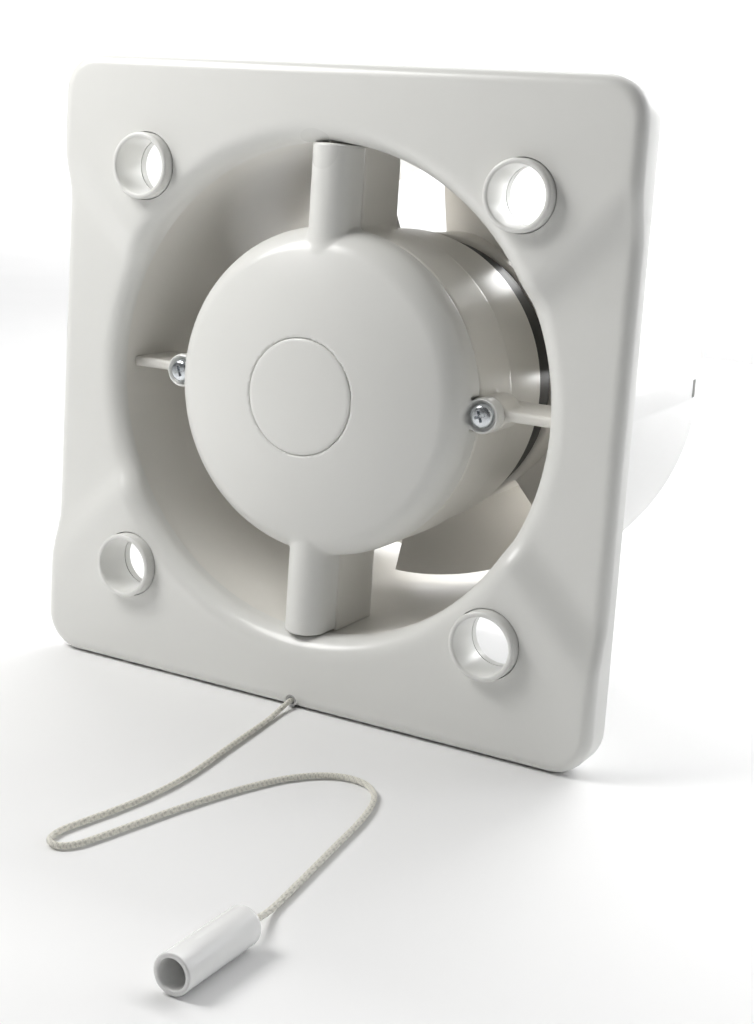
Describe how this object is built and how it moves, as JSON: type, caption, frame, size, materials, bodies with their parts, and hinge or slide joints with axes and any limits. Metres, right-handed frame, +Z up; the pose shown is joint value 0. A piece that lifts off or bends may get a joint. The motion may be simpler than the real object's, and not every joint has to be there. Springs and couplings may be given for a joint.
{
  "type": "bathroom extractor fan",
  "caption": "Square extractor fan base unit with a round inlet, domed motor cover on struts, impeller in a round duct spigot and a pull cord with a bell.",
  "frame": {"origin": "on the duct axis at the wall plane, which is the back face of the mounting flange", "axes": "-Y out of the front plate into the room, +Y back along the duct, +Z up, +X to the right as seen from the room"},
  "size_m": [0.156, 0.231, 0.156],
  "materials": {
    "white_plastic": "satin white moulded ABS",
    "bell_plastic": "glossy white moulded plastic",
    "blade_plastic": "satin off-white moulded plastic",
    "black_plastic": "black moulded plastic",
    "zinc_screw": "bright zinc plating",
    "spring_steel": "ground steel",
    "lamination": "varnished steel laminations",
    "nylon": "natural nylon",
    "copper_winding": "enamelled copper wire",
    "cast_bracket": "die-cast, unpainted",
    "bronze": "sintered bronze",
    "brass_parts": "bright brass",
    "grey_plastic": "pale grey nylon",
    "red_wire": "PVC insulation",
    "blue_wire": "PVC insulation",
    "cord": "braided cream cord"
  },
  "bodies": {
    "housing": {"front_plate": "white_plastic", "panel_bushes": "white_plastic", "wall_flange": "white_plastic", "duct_tube": "white_plastic", "motor_bracket": "white_plastic", "plate_screws": "zinc_screw", "cable_grommet": "grey_plastic", "dome_cover": "white_plastic", "dome_cap": "white_plastic", "cover_screws": "zinc_screw", "motor_cup": "white_plastic", "motor_end_shell": "black_plastic", "stator_core": "lamination", "coil_bobbin": "nylon", "coil_winding": "copper_winding", "front_bracket": "cast_bracket", "rear_bracket": "cast_bracket", "front_bearing": "bronze", "rear_bearing": "bronze", "motor_screws": "zinc_screw", "motor_nuts": "zinc_screw", "terminal_block": "nylon", "terminal_screws": "brass_parts", "cable_clamp": "nylon", "clamp_screws": "zinc_screw", "motor_leads": "red_wire", "switch_leads": "blue_wire", "switch_body": "nylon", "switch_cover": "nylon", "switch_contacts": "brass_parts", "switch_pin": "spring_steel", "switch_spring": "spring_steel", "cord_guide": "grey_plastic"},
    "impeller_set": {"rotor_core": "lamination", "motor_shaft": "spring_steel", "impeller": "blade_plastic", "impeller_clip": "spring_steel"},
    "cord_set": {"pull_cord": "cord", "cord_knot": "cord", "pull_bell": "bell_plastic"},
    "lever": {"switch_lever": "grey_plastic"},
    "inner_run": {"inner_cord": "cord"}
  },
  "joints": [
    {"name": "impeller_spin", "type": "hinge", "parent": "housing", "child": "impeller_set", "pos_m": [0, 0.06, 0], "axis": [0, 1, 0], "continuous": true},
    {"name": "cord_pull", "type": "slide", "parent": "housing", "child": "cord_set", "axis": [0, -1, 0], "range_m": [0, 0.005], "stiffness_N_per_m": 400},
    {"name": "lever_swing", "type": "hinge", "parent": "housing", "child": "lever", "pos_m": [0, 0.006, -0.02], "axis": [1, 0, 0], "range_deg": [0, 27.6]},
    {"name": "inner_cord_slide", "type": "slide", "parent": "housing", "child": "inner_run", "axis": [0, 0, -1], "range_m": [0, 0.005]}
  ],
  "couplings": [
    {"joint": "lever_swing", "follows": "cord_pull", "rad_per_m": 95.238},
    {"joint": "inner_cord_slide", "follows": "cord_pull", "ratio": 1}
  ]
}
